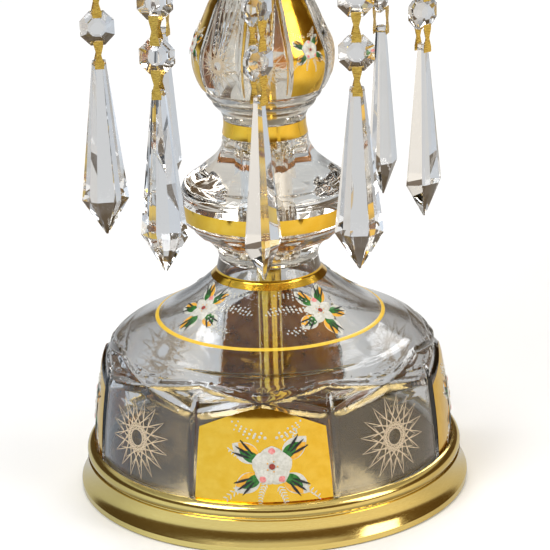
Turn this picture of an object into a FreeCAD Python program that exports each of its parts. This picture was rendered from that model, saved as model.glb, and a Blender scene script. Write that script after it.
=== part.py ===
"""Tabletop candelabra of cut, gilded glass on a turned brass foot.

Millimetres, +Z up, origin on the table at the centre of the foot, front towards -Y.
A threaded centre rod clamps a stack of turned pieces: foot, bell, knop, vase, drip pan, arm hub,
upper vase and centre candle cup. Faceted drops hang on bead chains from hooks in the drip pan.
Each exported sub-part carries its node name as its Label.
"""
import FreeCAD, Part
import Sketcher
import math
import os

doc = FreeCAD.newDocument("candelabra")
sheet = doc.addObject("Spreadsheet::Sheet", "Sizes")
sizes = {}

# Driving dimensions. Levels are heights above the table.
DRIVING = {
    # centre rod and its fixings
    "rod_radius": 3.0, "rod_foot": 3.4, "rod_head": 355.6, "cutter_length": 300.0,
    "rod_clearance": 3.1, "sleeve_radius": 5.0, "sleeve_bore": 3.6, "sleeve_clearance": 5.4,
    "sleeve_foot": 15.0, "sleeve_head": 232.0, "nut_flats": 6.5, "nut_foot": 6.4, "nut_height": 5.4,
    # foot
    "plate_radius": 83.0, "plate_foot": 0.6, "deck_level": 15.0, "deck_under": 13.5,
    "felt_radius": 79.5, "felt_height": 2.2, "fixing_hole": 12.0,
    "glass_seat": 16.0, "seat_radius": 76.7, "gasket_top": 16.8,
    # glass stack: where one piece ends and the next begins
    "bell_foot_radius": 76.2, "bell_wall_bore": 73.2, "bell_top": 99.6, "knop_foot": 100.2,
    "bell_neck": 20.8, "knop_top": 159.6, "vase_foot": 160.2, "knop_neck": 17.1,
    "vase_top": 231.0, "vase_mouth": 14.5, "sleeve_hole_top": 233.0,
    "pan_seat": 241.0, "pan_top": 244.0,
    "hub_foot": 244.2, "hub_top": 297.0, "upper_foot": 297.4, "upper_top": 348.0,
    "cap_foot": 348.4, "cap_top": 359.0,
    # pendants: hook, three clips, two beads and a drop on a vertical line
    "pendant_circle": 67.0, "pin_radius": 0.45, "pin_hole": 0.52, "bead_hole": 0.6,
    "hook_spread": 1.7, "hook_wire": 0.45, "hook_drop": 0.95, "hook_rise": 3.35,
    "hook_hole": 1.0, "hook_head_level": 244.6, "hook_head_radius": 1.7, "hook_head_top": 246.2,
    "drop_hole_level": 183.5, "bead_hole_offset": 5.7, "clip_pitch": 10.0,
    "clip_width": 3.8, "clip_waist": 1.9, "clip_end": 0.9, "clip_taper": 1.2,
    "clip_gap": 5.2, "clip_depth": 6.1,
    "bead_radius": 7.6, "bead_table_radius": 3.1, "bead_girdle": 0.9, "bead_table": 2.9,
    "drop_top": 185.8, "drop_widest": 126.4, "drop_tip": 111.4,
    "drop_top_width": 5.6, "drop_top_depth": 3.8, "drop_width": 19.6, "drop_depth": 10.8,
    "drop_tip_width": 0.9, "drop_tip_depth": 0.7,
    # arms: a straight run down from the hub, one arc, and a straight upright end
    "arm_radius": 5.5, "arm_reach": 140.0, "arm_slope": 22.0, "arm_root_radius": 14.0,
    "arm_bend": 60.0, "arm_bend_low": 262.5, "socket_radius": 7.6, "socket_bore": 5.55,
    "socket_start": 15.0, "socket_length": 17.0, "hub_bore": 7.65, "hub_bore_lead": 0.2,
    "socket_bore_lead": 1.0, "arm_root_gap": 0.4, "cup_socket_foot": 323.0,
    "cup_socket_floor": 12.6, "cup_socket_height": 18.0, "arm_end_gap": 0.1,
    # candle cups
    "candle_bore": 11.1, "cup_wall": 13.4, "cup_height": 29.5, "bore_floor": 5.5,
    "spigot_radius": 3.0, "spigot_length": 6.0, "cup_flange": 16.0,
    "centre_pan_level": 359.2, "pan_thickness": 2.6,
}

# Bearings in degrees, from the front (0) towards +X. A drop's face may be turned from its bearing.
PENDANT_BEARINGS = [-1.5, 32.8, 99, 131, 180, -140, -88, -37.5]
PENDANT_FACES = [42, 0, 38, 70, 180, -110, 8, -14]
ARM_BEARINGS = [45, 135, 225, 315]


def keep(alias, number):
    """Put one dimension into the sheet."""
    row = len(sizes) + 1
    sizes[alias] = number
    sheet.set(f"A{row}", alias)
    sheet.set(f"B{row}", str(number))
    sheet.setAlias(f"B{row}", alias)
    return alias


for alias, number in DRIVING.items():
    keep(alias, number)
# Worked out from those: each pendant from the drop's hole up to its hook, then the arms and cups.
keep("lower_clip_level", sizes["drop_hole_level"])
keep("lower_bead_level", sizes["lower_clip_level"] + sizes["clip_pitch"] + sizes["bead_hole_offset"])
keep("middle_clip_level", sizes["lower_bead_level"] + sizes["bead_hole_offset"])
keep("upper_bead_level", sizes["middle_clip_level"] + sizes["clip_pitch"] + sizes["bead_hole_offset"])
keep("upper_clip_level", sizes["upper_bead_level"] + sizes["bead_hole_offset"])
keep("hook_bar_level", sizes["upper_clip_level"] + sizes["clip_pitch"] - sizes["hook_drop"])
keep("hook_peak_level", sizes["hook_bar_level"] + sizes["hook_rise"])
keep("hook_shank_foot", sizes["hook_peak_level"] - sizes["hook_wire"] / 2)
keep("arm_end", sizes["cup_socket_foot"] + sizes["cup_socket_floor"] - sizes["arm_end_gap"])
keep("arm_pan_level", sizes["cup_socket_foot"] + sizes["cup_socket_height"])
keep("cup_level", sizes["arm_pan_level"] + sizes["pan_thickness"])
keep("centre_cup_level", sizes["centre_pan_level"] + sizes["pan_thickness"])
for number, bearing in enumerate(PENDANT_BEARINGS, 1):
    keep(f"pendant_bearing_{number}", bearing)
for number, bearing in enumerate(PENDANT_FACES, 1):
    keep(f"pendant_face_{number}", bearing)
for number, bearing in enumerate(ARM_BEARINGS, 1):
    keep(f"arm_bearing_{number}", bearing)
doc.recompute()


def coordinate(entry, alias):
    """A coordinate as (alias, factor). A bare number gets a cell of its own."""
    if isinstance(entry, tuple):
        return entry
    if isinstance(entry, str):
        return (entry, 1)
    return (keep(alias, entry), 1)


def length_of(place):
    return sizes[place[0]] * place[1]


def formula(place):
    return f"Sizes.{place[0]} * {place[1]}"


def arc_between(start, end, radius):
    """The arc from start to end: centre on the left of travel when radius is positive."""
    chord = end - start
    half = chord.Length / 2
    rise = math.sqrt(radius * radius - half * half)
    left = FreeCAD.Vector(-chord.y, chord.x, 0).normalize()
    centre = (start + end) / 2 + left * math.copysign(rise, radius)
    first, last = (start, end) if radius > 0 else (end, start)
    angles = [math.atan2(p.y - centre.y, p.x - centre.x) for p in (first, last)]
    if angles[1] < angles[0]:
        angles[1] += 2 * math.pi
    circle = Part.Circle(centre, FreeCAD.Vector(0, 0, 1), abs(radius))
    return Part.ArcOfCircle(circle, *angles)


def bind(sketch, kind, where, place):
    """One dimension of a sketch, driven by the sheet."""
    if kind != "Radius" and abs(length_of(place)) < 1e-9:
        axis = -2 if kind == "DistanceX" else -1
        sketch.addConstraint(Sketcher.Constraint("PointOnObject", *where, axis))
        return
    values = (where[0],) if kind == "Radius" else (-1, 1, *where)
    index = sketch.addConstraint(Sketcher.Constraint(kind, *values, length_of(place)))
    sketch.setExpression(f"Constraints[{index}]", formula(place))


def draw_outline(sketch, name, outline, closed=True):
    """Corners (x, y) or (x, y, radius of the arc to the next corner), joined in order."""
    corners = []
    for number, corner in enumerate(outline, 1):
        across = coordinate(corner[0], f"{name}_x_{number}")
        up = coordinate(corner[1], f"{name}_y_{number}")
        bend = coordinate(corner[2], f"{name}_bend_{number}") if len(corner) > 2 else None
        corners.append((across, up, bend))
    sides = []
    count = len(corners) if closed else len(corners) - 1
    for number in range(count):
        across, up, bend = corners[number]
        following = corners[(number + 1) % len(corners)]
        start = FreeCAD.Vector(length_of(across), length_of(up), 0)
        end = FreeCAD.Vector(length_of(following[0]), length_of(following[1]), 0)
        if bend is None:
            side = sketch.addGeometry(Part.LineSegment(start, end), False)
            ends = (1, 2)
        else:
            side = sketch.addGeometry(arc_between(start, end, length_of(bend)), False)
            ends = (1, 2) if length_of(bend) > 0 else (2, 1)
        sides.append((side, ends, bend))
    for number, (side, ends, bend) in enumerate(sides):
        if closed or number + 1 < len(sides):
            after, after_ends, _ = sides[(number + 1) % len(sides)]
            sketch.addConstraint(Sketcher.Constraint("Coincident", side, ends[1], after, after_ends[0]))
        bind(sketch, "DistanceX", (side, ends[0]), corners[number][0])
        bind(sketch, "DistanceY", (side, ends[0]), corners[number][1])
        if bend is not None:
            positive = bend if length_of(bend) > 0 else (bend[0], -bend[1])
            bind(sketch, "Radius", (side,), positive)
    if not closed:
        bind(sketch, "DistanceX", (sides[-1][0], sides[-1][1][1]), corners[-1][0])
        bind(sketch, "DistanceY", (sides[-1][0], sides[-1][1][1]), corners[-1][1])


def new_body(name):
    body = doc.addObject("PartDesign::Body", name)
    body.Label = name
    return body


def new_sketch(body, name, plane, level=None):
    """A sketch on one of the body's own planes, raised to a level of the sheet."""
    sketch = body.newObject("Sketcher::SketchObject", name)
    support = next(f for f in body.Origin.OriginFeatures if f.Role == plane)
    sketch.AttachmentSupport = (support, "")
    sketch.MapMode = "FlatFace"
    if level:
        sketch.setExpression(".AttachmentOffset.Base.z", f"Sizes.{level}")
    return sketch


def turned(name, outline):
    """A body turned about the Z axis from its outline (radius, level)."""
    body = new_body(name)
    sketch = new_sketch(body, name + "_outline", "XZ_Plane")
    draw_outline(sketch, name, outline)
    turn = body.newObject("PartDesign::Revolution", name + "_turned")
    turn.Profile = sketch
    turn.ReferenceAxis = (sketch, ["V_Axis"])
    turn.Angle = 360
    return body


def ring(name, bore, radius, bottom, top):
    return turned(name, [(bore, bottom), (radius, bottom), (radius, top), (bore, top)])


def drilled(body, name, radius, spots, plane="XZ_Plane"):
    """Straight holes right through a body, square to one of its planes."""
    sketch = new_sketch(body, name, plane)
    for number, (x, y) in enumerate(spots, 1):
        across = coordinate(x, f"{name}_x_{number}")
        up = coordinate(y, f"{name}_y_{number}")
        centre = FreeCAD.Vector(length_of(across), length_of(up), 0)
        circle = Part.Circle(centre, FreeCAD.Vector(0, 0, 1), sizes[radius])
        index = sketch.addGeometry(circle, False)
        bind(sketch, "DistanceX", (index, 3), across)
        bind(sketch, "DistanceY", (index, 3), up)
        bind(sketch, "Radius", (index,), (radius, 1))
    pocket = body.newObject("PartDesign::Pocket", name + "_cut")
    pocket.Profile = sketch
    pocket.Type = "ThroughAll"
    pocket.Midplane = True
    return body


def placed(name, source, bearing=None, circle=None, face=None, level=None):
    """A copy of a pattern piece, on a circle at a bearing, turned to a face, at a level."""
    copy = doc.addObject("Part::Compound", name)
    copy.Label = name
    copy.Links = [source]
    if circle:
        copy.setExpression(".Placement.Base.x", f"Sizes.{circle} * sin(Sizes.{bearing} * 1deg)")
        copy.setExpression(".Placement.Base.y", f"-Sizes.{circle} * cos(Sizes.{bearing} * 1deg)")
    if face:
        copy.setExpression(".Placement.Rotation.Angle", f"Sizes.{face} * 1deg")
    if level:
        copy.setExpression(".Placement.Base.z", f"Sizes.{level}")
    return copy


def group(name, members):
    joined = doc.addObject("Part::Compound", name)
    joined.Label = name
    joined.Links = members
    return joined


def cylinder(name, radius, length, placement):
    """A cylinder bound to the sheet, lying where its placement says."""
    solid = doc.addObject("Part::Cylinder", name)
    solid.setExpression("Radius", f"Sizes.{radius}")
    solid.setExpression("Height", f"Sizes.{length}")
    solid.Placement = placement
    return solid


nodes = []

# ---- foot -------------------------------------------------------------------------------------
nodes.append(turned("felt_pad", [
    ("fixing_hole", ("felt_height", 0)), ("felt_radius", ("felt_height", 0)),
    ("felt_radius", "felt_height"), ("fixing_hole", "felt_height")]))
nodes.append(turned("base_plate", [
    (80.4, "plate_foot"), ("plate_radius", "plate_foot"), ("plate_radius", 3.0), (82.2, 4.4, -14.0),
    (80.0, 13.0), (79.3, 13.1), (79.3, 13.8, 3.6), (77.0, 19.6, 0.8), ("seat_radius", 18.6),
    ("seat_radius", "glass_seat"), (69.5, "glass_seat"), (68.5, "deck_level"),
    ("rod_clearance", "deck_level"),
    ("rod_clearance", "deck_under"), (76.4, "deck_under"), (77.6, 12.4), (80.4, 3.2)]))
nodes.append(ring("base_weight", "fixing_hole", 75.6, 2.6, 13.0))
nodes.append(ring("base_washer", "rod_clearance", 11.0, 11.9, 13.4))
nut_blank = doc.addObject("Part::Prism", "nut_blank")
nut_blank.Polygon = 6
nut_blank.setExpression("Circumradius", "Sizes.nut_flats / cos(30deg)")
nut_blank.setExpression("Height", "Sizes.nut_height")
nut_blank.setExpression(".Placement.Base.z", "Sizes.nut_foot")
nut_bore = cylinder("nut_bore", "rod_clearance", "cutter_length", FreeCAD.Placement())
base_nut = doc.addObject("Part::Cut", "base_nut")
base_nut.Label = "base_nut"
base_nut.Base = nut_blank
base_nut.Tool = nut_bore
nodes.append(base_nut)
nodes.append(turned("centre_rod", [
    (("rod_radius", 0), "rod_foot"), ("rod_radius", "rod_foot"),
    ("rod_radius", "rod_head"), (("rod_radius", 0), "rod_head")]))
nodes.append(ring("rod_sleeve", "sleeve_bore", "sleeve_radius", "sleeve_foot", "sleeve_head"))
nodes.append(ring("bell_gasket", 70.5, "bell_foot_radius", "glass_seat", "gasket_top"))

# ---- glass stack ------------------------------------------------------------------------------
nodes.append(turned("bell", [
    ("bell_wall_bore", "gasket_top"), ("bell_foot_radius", "gasket_top"), (76.0, 23.0, 240.0),
    (72.8, 50.5, 19.0), (60.0, 68.4), (50.0, 73.5, -100.0), (22.0, 94.0),
    ("bell_neck", "bell_top"), (16.0, "bell_top"), (19.0, 93.0, 94.0), (48.0, 70.5),
    (58.5, 65.4, -16.0), (69.8, 49.8, -237.0)]))
nodes.append(turned("knop", [
    (8.0, "knop_foot"), ("bell_neck", "knop_foot"), (22.2, 104.6), (27.2, 109.0), (34.3, 116.3),
    (35.6, 117.6), (35.9, 127.0), (35.4, 130.6, 6.0), (30.9, 135.0), (23.4, 141.0), (22.1, 144.0),
    (19.6, 148.0), (17.7, 152.5), ("knop_neck", 156.5), ("knop_neck", "knop_top"),
    (8.0, "knop_top")]))
nodes.append(group("glass_washers", [
    ring("lower_washer", "sleeve_clearance", 15.0, "bell_top", "knop_foot"),
    ring("middle_washer", "sleeve_clearance", 14.0, "knop_top", "vase_foot")]))
nodes.append(turned("vase", [
    (12.0, "vase_foot"), ("knop_neck", "vase_foot"), (21.2, 165.3), (28.1, 178.0, 18.0),
    (28.8, 190.5), (21.9, 207.3, -60.0), ("vase_mouth", "vase_top"), (11.5, "vase_top"),
    (18.5, 206.5, -40.0), (24.5, 182.0), (18.0, 168.0)]))
nodes.append(turned("vase_cap", [
    ("sleeve_clearance", "vase_top"), (16.5, "vase_top"), (17.5, 233.0), (15.0, 237.0),
    (18.5, 239.4), (18.5, "pan_seat"), ("rod_clearance", "pan_seat"), ("rod_clearance", "sleeve_hole_top"),
    ("sleeve_clearance", "sleeve_hole_top")]))
pan = turned("drip_pan", [
    ("rod_clearance", "pan_seat"), (60.0, "pan_seat", 70.0), (75.0, 242.6), (75.8, 245.0),
    (74.0, 245.4, -70.0), (60.0, "pan_top"), ("rod_clearance", "pan_top")])
doc.recompute()
solid_pan = pan.Shape.Volume
spots = []
for number, bearing in enumerate(PENDANT_BEARINGS, 1):
    across = keep(f"hook_x_{number}", DRIVING["pendant_circle"] * math.sin(math.radians(bearing)))
    along = keep(f"hook_y_{number}", -DRIVING["pendant_circle"] * math.cos(math.radians(bearing)))
    spots.append((across, along))
drilled(pan, "hook_holes", "hook_hole", spots, "XY_Plane")
nodes.append(pan)

# ---- arm hub and arms -------------------------------------------------------------------------
# The arm's centre line: straight down its slope from the hub, an arc, then upright to the cup.
slope = math.radians(DRIVING["arm_slope"])
bend = DRIVING["arm_bend"]
bend_start = (DRIVING["arm_reach"] - bend * (1 + math.sin(slope)),
              DRIVING["arm_bend_low"] + bend * (1 - math.cos(slope)))
run = (bend_start[0] - DRIVING["arm_root_radius"]) / math.cos(slope)
root = (DRIVING["arm_root_radius"], bend_start[1] + run * math.sin(slope))
bend_end = (DRIVING["arm_reach"], DRIVING["arm_bend_low"] + bend)


def along_arm(distance):
    """A point on the arm's straight run, measured from the rod's axis."""
    return (distance * math.cos(slope), root[1] + (DRIVING["arm_root_radius"] / math.cos(slope)
            - distance) * math.sin(slope))


hub = turned("hub_blank", [
    ("rod_clearance", "hub_foot"), (19.0, "hub_foot"), (19.0, 247.0), (12.0, 250.0, -14.0),
    (10.0, 265.0), (14.0, 270.0), (23.0, 273.0, 30.0), (23.0, 289.0), (17.0, 293.5),
    (18.0, "hub_top"), ("rod_clearance", "hub_top")])


def sloped_cylinder(name, radius, length, number, start):
    """A cylinder lying along arm `number`, from `start` outwards."""
    bearing = math.radians(ARM_BEARINGS[number - 1])
    reach, level = along_arm(start)
    outward = FreeCAD.Vector(math.sin(bearing), -math.cos(bearing), 0)
    heading = outward * math.cos(slope) - FreeCAD.Vector(0, 0, math.sin(slope))
    turn = FreeCAD.Rotation(FreeCAD.Vector(0, 0, 1), heading)
    place = FreeCAD.Placement(outward * reach + FreeCAD.Vector(0, 0, level), turn)
    return cylinder(name, radius, length, place)


sockets = []
bores = []
for number in range(1, len(ARM_BEARINGS) + 1):
    start = DRIVING["socket_start"]
    bore_start = start - DRIVING["socket_bore_lead"]
    hub_start = start - DRIVING["hub_bore_lead"]
    outer = sloped_cylinder(f"socket_skin_{number}", "socket_radius", "socket_length", number, start)
    inner = sloped_cylinder(f"socket_hole_{number}", "socket_bore", "cutter_length", number, bore_start)
    socket = doc.addObject("Part::Cut", f"socket_{number}")
    socket.Base = outer
    socket.Tool = inner
    sockets.append(socket)
    bores.append(sloped_cylinder(f"hub_bore_{number}", "hub_bore", "cutter_length", number, hub_start))
all_bores = doc.addObject("Part::MultiFuse", "all_bores")
all_bores.Shapes = bores
arm_hub = doc.addObject("Part::Cut", "arm_hub")
arm_hub.Label = "arm_hub"
arm_hub.Base = hub
arm_hub.Tool = all_bores
nodes.append(arm_hub)
nodes.append(group("arm_sockets", sockets))

arm_start = along_arm(DRIVING["socket_start"] + DRIVING["arm_root_gap"])
arm_body = new_body("arm_pattern")
spine = new_sketch(arm_body, "arm_spine", "XZ_Plane")
draw_outline(spine, "arm_spine", [
    arm_start, (bend_start[0], bend_start[1], "arm_bend"), ("arm_reach", bend_end[1]),
    ("arm_reach", "arm_end")], closed=False)
section = new_sketch(arm_body, "arm_section", "XY_Plane", level="arm_end")
section.setExpression(".AttachmentOffset.Base.x", "Sizes.arm_reach")
section.addGeometry(Part.Circle(FreeCAD.Vector(), FreeCAD.Vector(0, 0, 1), sizes["arm_radius"]), False)
bind(section, "Radius", (0,), ("arm_radius", 1))
bind(section, "DistanceX", (0, 3), ("arm_radius", 0))
bind(section, "DistanceY", (0, 3), ("arm_radius", 0))
pipe = arm_body.newObject("PartDesign::AdditivePipe", "arm_pipe")
pipe.Profile = section
pipe.Spine = (spine, ["Edge3", "Edge2", "Edge1"])

cup_socket = turned("cup_socket_pattern", [
    ("socket_bore", 0.0), (7.4, 0.0), (8.2, 2.0), (7.4, 4.0), (7.4, 13.0), (11.0, 17.0),
    (11.0, "cup_socket_height"), ("rod_clearance", "cup_socket_height"),
    ("rod_clearance", "cup_socket_floor"), ("socket_bore", "cup_socket_floor")])
arm_pan = turned("arm_pan_pattern", [
    ("rod_clearance", 0.0), (22.0, 0.0, 40.0), (34.0, 2.0), (34.6, 4.2), (33.2, 4.8, -40.0),
    (22.0, "pan_thickness"), ("rod_clearance", "pan_thickness")])
cup = turned("cup_pattern", [
    (("spigot_radius", 0), ("spigot_length", -1)), ("spigot_radius", ("spigot_length", -1)),
    ("spigot_radius", 0.0), ("cup_flange", 0.0), ("cup_flange", 1.8), (12.0, 3.4),
    ("cup_wall", 5.6), ("cup_wall", 25.0), (15.4, 27.6), (15.4, "cup_height"),
    ("candle_bore", "cup_height"), ("candle_bore", "bore_floor"), (("spigot_radius", 0), "bore_floor")])

cup_sockets = []
for number in range(1, len(ARM_BEARINGS) + 1):
    bearing = f"arm_bearing_{number}"
    arm = placed(f"arm_{number}", arm_body)
    arm.setExpression(".Placement.Rotation.Angle", f"(Sizes.{bearing} - 90) * 1deg")
    nodes.append(arm)
    spot = (bearing, "arm_reach")
    cup_sockets.append(placed(f"cup_socket_{number}", cup_socket, *spot, level="cup_socket_foot"))
    nodes.append(placed(f"arm_pan_{number}", arm_pan, *spot, level="arm_pan_level"))
    nodes.append(placed(f"arm_cup_{number}", cup, *spot, level="cup_level"))
nodes.append(group("cup_sockets", cup_sockets))

# ---- upper stack ------------------------------------------------------------------------------
nodes.append(turned("upper_vase", [
    (8.0, "upper_foot"), (15.0, "upper_foot"), (16.0, 303.0, 22.0), (22.0, 321.0, 22.0),
    (17.0, 336.0, -30.0), (13.0, "upper_top"), (8.0, "upper_top")]))
nodes.append(turned("top_cap", [
    ("rod_clearance", "cap_foot"), (15.0, "cap_foot"), (15.5, 351.0), (9.0, 354.0), (9.0, 356.0),
    (13.0, "cap_top"), ("rod_clearance", "cap_top")]))
nodes.append(placed("centre_pan", arm_pan, level="centre_pan_level"))
nodes.append(placed("centre_cup", cup, level="centre_cup_level"))

# ---- pendants ---------------------------------------------------------------------------------
# Patterns stand on the Z axis with their face towards -Y and are placed round the drip pan.
# The hook is a stirrup: a cross bar, two sloping sides, and a shank with a head above the pan.
across = FreeCAD.Rotation(FreeCAD.Vector(0, 1, 0), 90)
bar = cylinder("hook_bar", "hook_wire", "hook_spread", FreeCAD.Placement(FreeCAD.Vector(), across))
bar.setExpression("Height", "Sizes.hook_spread * 2")
bar.setExpression(".Placement.Base.x", "-Sizes.hook_spread")
bar.setExpression(".Placement.Base.z", "Sizes.hook_bar_level")
hook_parts = [bar]
for side, hand in ((-1, "left"), (1, "right")):
    inward = FreeCAD.Vector(-side * DRIVING["hook_spread"], 0, DRIVING["hook_rise"])
    lean = FreeCAD.Placement(FreeCAD.Vector(), FreeCAD.Rotation(FreeCAD.Vector(0, 0, 1), inward))
    wire = cylinder(f"hook_side_{hand}", "hook_wire", "hook_rise", lean)
    wire.setExpression("Height", "sqrt(Sizes.hook_spread ^ 2 + Sizes.hook_rise ^ 2)")
    corner = doc.addObject("Part::Sphere", f"hook_corner_{hand}")
    corner.setExpression("Radius", "Sizes.hook_wire")
    for piece in (wire, corner):
        piece.setExpression(".Placement.Base.x", f"Sizes.hook_spread * {side}")
        piece.setExpression(".Placement.Base.z", "Sizes.hook_bar_level")
    hook_parts += [wire, corner]
hook_parts.append(turned("hook_shank", [
    (("hook_wire", 0), "hook_shank_foot"), ("hook_wire", "hook_shank_foot"),
    ("hook_wire", "hook_head_level"), ("hook_head_radius", "hook_head_level"),
    (("hook_wire", 0), "hook_head_top")]))
hook = doc.addObject("Part::MultiFuse", "hook_pattern")
hook.Shapes = hook_parts

drop = new_body("drop_pattern")
stations = [("drop_tip", "drop_tip_width", "drop_tip_depth"),
            ("drop_widest", "drop_width", "drop_depth"),
            ("drop_top", "drop_top_width", "drop_top_depth")]
sections = []
for level, width, depth in stations:
    sketch = new_sketch(drop, f"{level}_section", "XY_Plane", level)
    draw_outline(sketch, f"{level}_section", [
        ((width, 0.5), (depth, 0)), ((width, 0.2), (depth, 0.5)), ((width, -0.2), (depth, 0.5)),
        ((width, -0.5), (depth, 0)), ((width, -0.2), (depth, -0.5)), ((width, 0.2), (depth, -0.5))])
    sections.append(sketch)
loft = drop.newObject("PartDesign::AdditiveLoft", "drop_loft")
loft.Profile = sections[0]
loft.Sections = sections[1:]
loft.Ruled = True
doc.recompute()
solid_drop = drop.Shape.Volume
drilled(drop, "drop_hole", "pin_hole", [(("pin_hole", 0), "drop_hole_level")])


def faceted_bead(name, level):
    """An octagon bead: two table facets, a girdle, and a pin hole near its top and bottom flats."""
    outlines = []
    for side, (radius, depth) in enumerate([("bead_table_radius", "-Sizes.bead_table"),
                                            ("bead_radius", "-Sizes.bead_girdle"),
                                            ("bead_radius", "Sizes.bead_girdle"),
                                            ("bead_table_radius", "Sizes.bead_table")]):
        outline = doc.addObject("Part::RegularPolygon", f"{name}_outline_{side}")
        outline.Polygon = 8
        outline.setExpression("Circumradius", f"Sizes.{radius}")
        upright = FreeCAD.Rotation(FreeCAD.Vector(1, 0, 0), 90)
        eighth = FreeCAD.Rotation(FreeCAD.Vector(0, 0, 1), 22.5)
        outline.Placement = FreeCAD.Placement(FreeCAD.Vector(), upright * eighth)
        outline.setExpression(".Placement.Base.y", depth)
        outline.setExpression(".Placement.Base.z", f"Sizes.{level}")
        outlines.append(outline)
    blank = doc.addObject("Part::Loft", name + "_blank")
    blank.Sections = outlines
    blank.Solid = True
    blank.Ruled = True
    holes = []
    for sign in "+-":
        hole = cross_pin(f"{name}_hole_{'low' if sign == '-' else 'high'}", "bead_hole", "bead_radius")
        hole.setExpression(".Placement.Base.z", f"Sizes.{level} {sign} Sizes.bead_hole_offset")
        holes.append(hole)
    both = doc.addObject("Part::MultiFuse", name + "_holes")
    both.Shapes = holes
    bead = doc.addObject("Part::Cut", name)
    bead.Base = blank
    bead.Tool = both
    return bead


def cross_pin(name, radius, length):
    """A cylinder through the Z axis, front to back."""
    lying = FreeCAD.Rotation(FreeCAD.Vector(1, 0, 0), 90)
    pin = cylinder(name, radius, length, FreeCAD.Placement(FreeCAD.Vector(), lying))
    pin.setExpression(".Placement.Base.y", f"Sizes.{length} / 2")
    return pin


beads = group("beads_pattern", [faceted_bead("lower_bead", "lower_bead_level"),
                                faceted_bead("upper_bead", "upper_bead_level")])

# A clip is two bow-tie cheeks joined by a pin at each end.
cheeks = new_body("clip_cheeks")
tie = new_sketch(cheeks, "clip_tie", "XZ_Plane")
keep("clip_top", sizes["clip_pitch"] + sizes["clip_end"])
keep("clip_shoulder", sizes["clip_pitch"] - sizes["clip_taper"])
draw_outline(tie, "clip_tie", [
    (("clip_width", -0.5), ("clip_end", -1)), (("clip_width", 0.5), ("clip_end", -1)),
    (("clip_width", 0.5), "clip_taper"), (("clip_waist", 0.5), ("clip_pitch", 0.5)),
    (("clip_width", 0.5), "clip_shoulder"), (("clip_width", 0.5), "clip_top"),
    (("clip_width", -0.5), "clip_top"), (("clip_width", -0.5), "clip_shoulder"),
    (("clip_waist", -0.5), ("clip_pitch", 0.5)), (("clip_width", -0.5), "clip_taper")])
slab = cheeks.newObject("PartDesign::Pad", "clip_slab")
slab.Profile = tie
slab.setExpression("Length", "Sizes.clip_depth")
slab.Midplane = True
gap = doc.addObject("Part::Box", "clip_gap_box")
gap.setExpression("Length", "Sizes.clip_width * 2")
gap.setExpression("Width", "Sizes.clip_gap")
gap.setExpression("Height", "Sizes.clip_pitch * 3")
gap.setExpression(".Placement.Base.x", "-Sizes.clip_width")
gap.setExpression(".Placement.Base.y", "-Sizes.clip_gap / 2")
gap.setExpression(".Placement.Base.z", "-Sizes.clip_pitch")
open_cheeks = doc.addObject("Part::Cut", "open_cheeks")
open_cheeks.Base = cheeks
open_cheeks.Tool = gap
pins = [cross_pin("clip_pin_low", "pin_radius", "clip_depth"),
        cross_pin("clip_pin_high", "pin_radius", "clip_depth")]
pins[1].setExpression(".Placement.Base.z", "Sizes.clip_pitch")
clip = doc.addObject("Part::MultiFuse", "clip_pattern")
clip.Shapes = [open_cheeks] + pins
links = group("links_pattern", [
    placed(f"{place}_clip", clip, level=f"{place}_clip_level") for place in ("lower", "middle", "upper")])

hooks = []
for number in range(1, len(PENDANT_BEARINGS) + 1):
    spot = (f"pendant_bearing_{number}", "pendant_circle", f"pendant_face_{number}")
    hooks.append(placed(f"hook_{number}", hook, *spot))
    nodes.append(placed(f"pendant_links_{number}", links, *spot))
    nodes.append(placed(f"pendant_beads_{number}", beads, *spot))
    nodes.append(placed(f"pendant_drop_{number}", drop, *spot))
nodes.append(group("pendant_hooks", hooks))

doc.recompute()
if not (pan.Shape.Volume < solid_pan and drop.Shape.Volume < solid_drop):
    raise RuntimeError("a drilled hole removed nothing")
for item in doc.Objects:
    if "Invalid" in item.State or "Error" in item.State:
        raise RuntimeError(f"{item.Name} failed: {item.State}")
for node in nodes:
    if node.Shape.isNull() or not node.Shape.isValid() or not node.Shape.Solids:
        raise RuntimeError(f"{node.Label} has no valid solid")

os.makedirs("parts", exist_ok=True)
for node in nodes:
    node.Shape.exportStep(f"parts/{node.Label}.step")
    print(f"{node.Label}: {len(node.Shape.Solids)} solid(s), {node.Shape.Volume:.0f} mm3")
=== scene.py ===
import math

import bpy
import numpy as np
from mathutils import Matrix, Vector


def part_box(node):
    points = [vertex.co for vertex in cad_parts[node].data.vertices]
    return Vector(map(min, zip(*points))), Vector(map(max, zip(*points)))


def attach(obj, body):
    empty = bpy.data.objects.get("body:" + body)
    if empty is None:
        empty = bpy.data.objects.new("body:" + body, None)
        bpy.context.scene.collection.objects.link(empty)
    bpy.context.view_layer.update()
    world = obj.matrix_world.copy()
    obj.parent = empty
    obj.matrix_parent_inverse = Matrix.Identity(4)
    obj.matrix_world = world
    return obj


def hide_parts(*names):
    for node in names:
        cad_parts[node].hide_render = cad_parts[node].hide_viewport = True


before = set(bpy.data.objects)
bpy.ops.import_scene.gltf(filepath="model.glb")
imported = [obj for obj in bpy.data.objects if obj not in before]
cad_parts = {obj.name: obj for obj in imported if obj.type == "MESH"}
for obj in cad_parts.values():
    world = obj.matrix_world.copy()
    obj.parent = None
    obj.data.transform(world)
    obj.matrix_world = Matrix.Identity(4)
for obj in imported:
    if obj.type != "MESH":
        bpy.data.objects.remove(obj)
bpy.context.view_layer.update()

MM = 0.001
TAU = 2 * math.pi


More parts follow.
